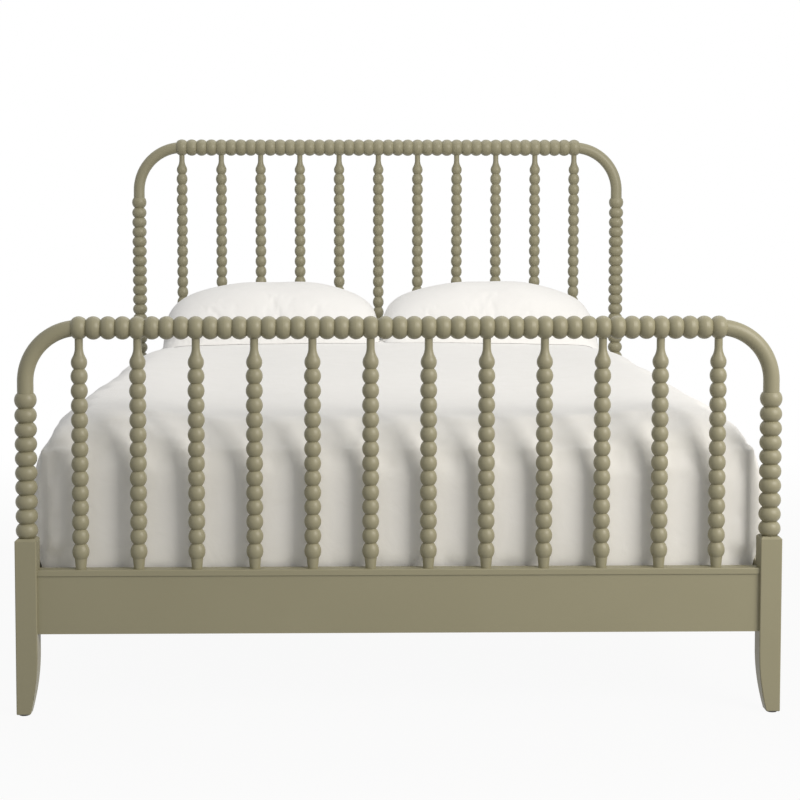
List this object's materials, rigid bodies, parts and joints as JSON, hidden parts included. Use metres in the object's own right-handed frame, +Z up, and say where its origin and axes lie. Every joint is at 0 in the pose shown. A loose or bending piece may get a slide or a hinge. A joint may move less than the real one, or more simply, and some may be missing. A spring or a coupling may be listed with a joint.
{
  "type": "bead-turned bed",
  "caption": "Painted wooden bed with bead-turned head and foot boards, bent round corners, side rails, slatted base, mattress, duvet and pillows.",
  "frame": {"origin": "on the floor under the middle of the bed's outer box", "axes": "+X to the right seen from the foot, +Y from the foot board to the head board, +Z up"},
  "size_m": [1.6312, 2.1618, 1.31],
  "materials": {
    "paint": "satin",
    "pine": "matte",
    "steel": "satin",
    "brass": "satin",
    "nylon": "matte",
    "ticking": "matte",
    "bedding": "matte"
  },
  "bodies": {
    "frame": {"beam_hangers": "steel", "centre_beam": "pine", "centre_leg_foot": "pine", "centre_leg_head": "pine", "floor_glides": "nylon", "foot_elbow_left": "paint", "foot_elbow_right": "paint", "foot_lower_rail": "paint", "foot_post_left": "paint", "foot_post_right": "paint", "foot_rail_cap": "paint", "foot_spindle_01": "paint", "foot_spindle_02": "paint", "foot_spindle_03": "paint", "foot_spindle_04": "paint", "foot_spindle_05": "paint", "foot_spindle_06": "paint", "foot_spindle_07": "paint", "foot_spindle_08": "paint", "foot_spindle_09": "paint", "foot_spindle_10": "paint", "foot_spindle_11": "paint", "foot_spindle_12": "paint", "foot_top_rail": "paint", "head_elbow_left": "paint", "head_elbow_right": "paint", "head_lower_rail": "paint", "head_post_left": "paint", "head_post_right": "paint", "head_rail_cap": "paint", "head_spindle_01": "paint", "head_spindle_02": "paint", "head_spindle_03": "paint", "head_spindle_04": "paint", "head_spindle_05": "paint", "head_spindle_06": "paint", "head_spindle_07": "paint", "head_spindle_08": "paint", "head_spindle_09": "paint", "head_spindle_10": "paint", "head_spindle_11": "paint", "head_top_rail": "paint", "ledger_screws": "steel", "post_slot_plates": "steel", "rail_hook_plates": "steel", "side_rail_left": "paint", "side_rail_right": "paint", "slat_ledger_left": "pine", "slat_ledger_right": "pine", "slat_screws": "steel", "slats": "pine", "threaded_inserts": "brass"},
    "leveller_head_body": {"leveller_head": "steel"},
    "leveller_foot_body": {"leveller_foot": "steel"},
    "mattress_body": {"mattress": "ticking"},
    "duvet_body": {"duvet": "bedding"},
    "pillow_left_body": {"pillow_left": "bedding"},
    "pillow_right_body": {"pillow_right": "bedding"}
  },
  "joints": [
    {"name": "leveller_head_travel", "type": "slide", "parent": "frame", "child": "leveller_head_body", "axis": [0, 0, 1], "range_m": [-0.012, 0.008]},
    {"name": "leveller_foot_travel", "type": "slide", "parent": "frame", "child": "leveller_foot_body", "axis": [0, 0, 1], "range_m": [-0.012, 0.008]},
    {"name": "mattress_lift", "type": "slide", "parent": "frame", "child": "mattress_body", "axis": [0, 0, 1], "range_m": [0, 0.6]},
    {"name": "duvet_lift", "type": "slide", "parent": "mattress_body", "child": "duvet_body", "axis": [0, 0, 1], "range_m": [0, 0.5]},
    {"name": "pillow_left_lift", "type": "slide", "parent": "duvet_body", "child": "pillow_left_body", "axis": [0, 0, 1], "range_m": [0, 0.5]},
    {"name": "pillow_right_lift", "type": "slide", "parent": "duvet_body", "child": "pillow_right_body", "axis": [0, 0, 1], "range_m": [0, 0.5]}
  ]
}
